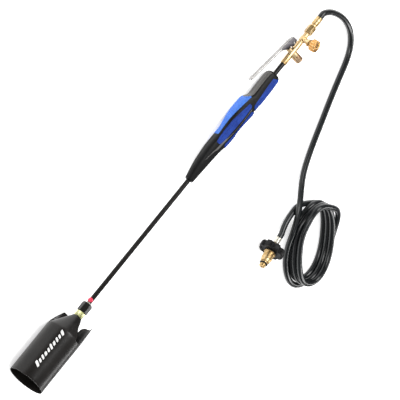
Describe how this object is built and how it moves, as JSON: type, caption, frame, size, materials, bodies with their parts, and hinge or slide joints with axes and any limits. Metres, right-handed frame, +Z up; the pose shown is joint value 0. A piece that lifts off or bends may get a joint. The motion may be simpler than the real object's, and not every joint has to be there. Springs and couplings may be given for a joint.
{
  "type": "propane torch",
  "caption": "Long-handled propane torch with open-backed bell burner, squeeze valve lever, flame knob, coiled rubber hose and threaded tank fitting.",
  "frame": {"origin": "floor point under the middle of the torch's own bounding box (hose and tank fitting left out)", "axes": "+Z up from the floor the torch lies on, +X along the torch toward the bell mouth, +Y toward the coiled hose"},
  "size_m": [0.9913, 0.6105, 0.0807],
  "materials": {
    "black_steel": "satin",
    "zinc_steel": "satin",
    "brass": "satin",
    "black_plastic": "matte",
    "light_blue_grip": "matte",
    "dark_blue_grip": "matte",
    "hose_rubber": "satin",
    "seal_rubber": "matte",
    "red_lacquer": "satin"
  },
  "bodies": {
    "torch": {"burner_bell": "black_steel", "burner_hub": "brass", "gas_jet": "brass", "coupling_nut": "black_steel", "nut_seal_ring": "brass", "red_marker_dab": "red_lacquer", "gas_tube": "black_steel", "handle_shell_left": "black_plastic", "handle_shell_right": "black_plastic", "handle_screw_1": "zinc_steel", "handle_screw_2": "zinc_steel", "handle_screw_3": "zinc_steel", "top_grip_pad": "light_blue_grip", "side_grip_pad_left": "dark_blue_grip", "side_grip_pad_right": "dark_blue_grip", "belly_grip_pad": "dark_blue_grip", "rear_grip_pad": "dark_blue_grip", "tube_sleeve": "brass", "valve_body": "brass", "spring_cap": "brass", "plunger_seal": "seal_rubber", "valve_spring": "zinc_steel", "lever_pin": "zinc_steel", "needle_body": "brass", "needle_bonnet": "brass", "needle_packing": "seal_rubber", "hose_nut": "brass", "hose_barb": "brass", "hose_ferrule": "brass", "hose_lead": "hose_rubber", "hose_coil": "hose_rubber", "hose_tail": "hose_rubber", "tank_ferrule": "zinc_steel", "tank_nipple": "brass", "tank_o_ring": "seal_rubber"},
    "lever": {"squeeze_lever": "zinc_steel"},
    "plunger": {"valve_plunger": "zinc_steel"},
    "needle_slide": {"needle_stem": "zinc_steel"},
    "needle_wheel": {"needle_knob": "brass", "knob_screw": "zinc_steel"},
    "tank_wheel": {"tank_handwheel": "black_plastic", "tank_nut": "brass"}
  },
  "joints": [
    {"name": "lever_squeeze", "type": "hinge", "parent": "torch", "child": "lever", "pos_m": [-0.39113, -0.01114, 0.01144], "axis": [-0.0264, -0.454, 0.8906], "range_deg": [0, 7], "stiffness_Nm_per_rad": 1.5},
    {"name": "plunger_slide", "type": "slide", "parent": "torch", "child": "plunger", "axis": [-0.0135, 0.891, 0.4538], "range_m": [0, 0.0018]},
    {"name": "needle_rise", "type": "slide", "parent": "torch", "child": "needle_slide", "axis": [-0.0294, 0.1219, 0.9921], "range_m": [0, 0.0015]},
    {"name": "needle_turn", "type": "hinge", "parent": "needle_slide", "child": "needle_wheel", "pos_m": [-0.41164, 0.00353, 0.0453], "axis": [-0.0294, 0.1219, 0.9921], "range_deg": [0, 540]},
    {"name": "tank_wheel_turn", "type": "hinge", "parent": "torch", "child": "tank_wheel", "pos_m": [-0.1285, 0.3695, 0.027], "axis": [0.9724, -0.0782, 0.2198], "continuous": true}
  ],
  "couplings": [
    {"joint": "plunger_slide", "follows": "lever_squeeze", "m_per_rad": 0.01473},
    {"joint": "needle_turn", "follows": "needle_rise", "rad_per_m": 6283.2}
  ]
}
